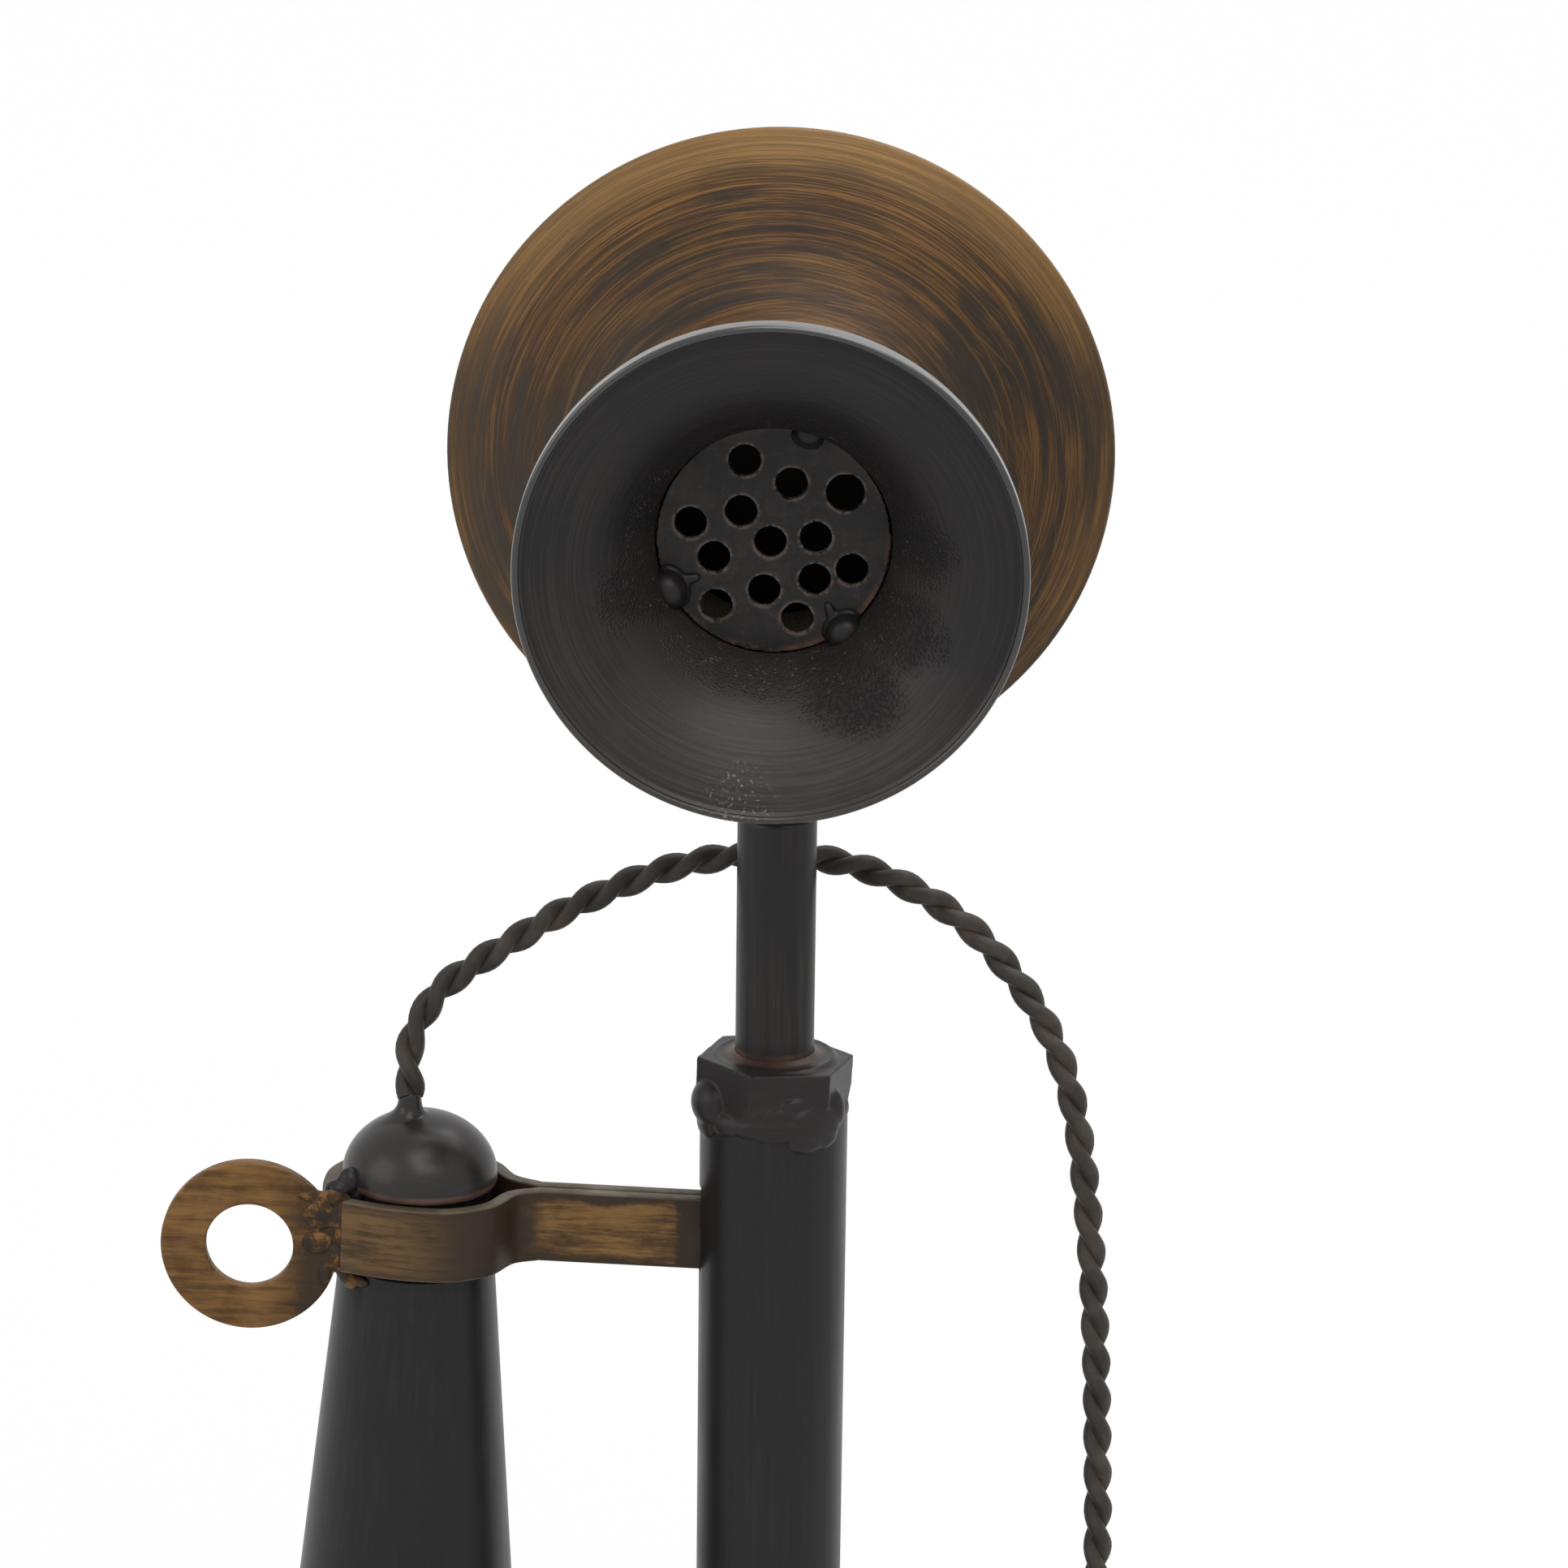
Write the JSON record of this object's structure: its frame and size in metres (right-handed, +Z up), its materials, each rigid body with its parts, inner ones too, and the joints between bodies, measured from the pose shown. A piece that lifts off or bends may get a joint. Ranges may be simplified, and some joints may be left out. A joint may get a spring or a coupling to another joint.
{
  "type": "candlestick telephone",
  "caption": "Candlestick telephone with a flared mouthpiece on a brass-washed bell, a receiver held in its switch hook and a twisted cord",
  "frame": {"origin": "on the table under the column, at the middle of the base pad's underside", "axes": "+Z up along the column, the mouthpiece faces -Y, the receiver hangs on the -X side and the cord comes down on the +X side"},
  "size_m": [0.1762, 0.1548, 0.3532],
  "materials": {
    "black_paint": "black paint, half gloss, rubbed thin and lightly rusted at the joints",
    "brass_wash": "dark metal with a brushed brass wash, lighter where it is worn at the edges",
    "steel": "plain steel",
    "brass": "plain brass",
    "copper_wire": "wound copper wire",
    "fibre": "pressed brown fibre",
    "rubber": "matt black rubber",
    "felt": "green felt",
    "dark_wire": "two dark strands twisted together, rust in the grooves"
  },
  "bodies": {
    "stand": {"base_pad": "felt", "base_plate": "black_paint", "base_screw_1": "steel", "base_screw_2": "steel", "base_screw_3": "steel", "base_foot": "black_paint", "base_bell": "brass_wash", "column_ring": "black_paint", "column_locknut": "steel", "column_tube": "black_paint", "collar_nut": "black_paint", "switch_frame": "steel", "frame_screw": "steel", "hook_pin": "steel", "return_spring": "steel", "contact_block": "fibre", "contact_screw": "steel", "contact_leaf_fixed": "brass", "terminal_board": "fibre", "terminal_screw_1": "brass", "terminal_screw_2": "brass", "terminal_screw_3": "brass", "cord_ferrule": "black_paint", "cord": "dark_wire", "line_grommet": "rubber"},
    "contact_leaf": {"contact_leaf_moving": "brass"},
    "hook": {"hook_front_strip": "brass_wash", "hook_back_strip": "brass_wash", "hook_ring": "brass_wash", "hook_tail": "steel", "hook_rivet": "steel", "hook_stud": "fibre"},
    "receiver": {"receiver_dome": "black_paint", "receiver_shell": "black_paint", "receiver_cap": "black_paint", "receiver_diaphragm": "steel", "receiver_magnet": "steel", "receiver_plate": "brass", "receiver_coil_1": "copper_wire", "receiver_coil_2": "copper_wire"},
    "post": {"post": "black_paint"},
    "head": {"head_lug": "black_paint", "lug_screw": "steel", "tilt_bolt": "steel", "tilt_nut": "steel", "transmitter_back": "black_paint", "transmitter_face": "brass_wash", "mouthpiece_horn": "black_paint", "mouthpiece_grille": "black_paint", "grille_tack_1": "black_paint", "grille_tack_2": "black_paint", "grille_tack_3": "black_paint", "transmitter_diaphragm": "steel", "carbon_button": "brass", "button_bridge": "steel", "bridge_screw_1": "steel", "bridge_screw_2": "steel", "cup_screw_1": "steel", "cup_screw_2": "steel"}
  },
  "joints": [
    {"name": "hook_pivot", "type": "hinge", "parent": "stand", "child": "hook", "pos_m": [0, 0, 0.1565], "axis": [0, 1, 0], "range_deg": [0, 8], "stiffness_Nm_per_rad": 0.13, "springref_deg": 20.05, "deforming": ["cord"]},
    {"name": "contact_leaf_flex", "type": "hinge", "parent": "stand", "child": "contact_leaf", "pos_m": [0.00255, 0, 0.10494], "axis": [0, 1, 0], "range_deg": [-5.97, 0]},
    {"name": "receiver_turn", "type": "hinge", "parent": "hook", "child": "receiver", "pos_m": [-0.06225, 0, 0.15911], "axis": [0.0419, 0, 0.9991], "range_deg": [-15, 15], "deforming": ["cord"]},
    {"name": "post_turn", "type": "hinge", "parent": "stand", "child": "post", "pos_m": [0, 0, 0.1802], "axis": [0, 0, 1], "range_deg": [-90, 90]},
    {"name": "head_tilt", "type": "hinge", "parent": "post", "child": "head", "pos_m": [0, 0, 0.2395], "axis": [0.9998, -0.0174, 0], "range_deg": [-20, 25]}
  ],
  "couplings": [
    {"joint": "contact_leaf_flex", "follows": "hook_pivot", "ratio": -0.7458}
  ]
}
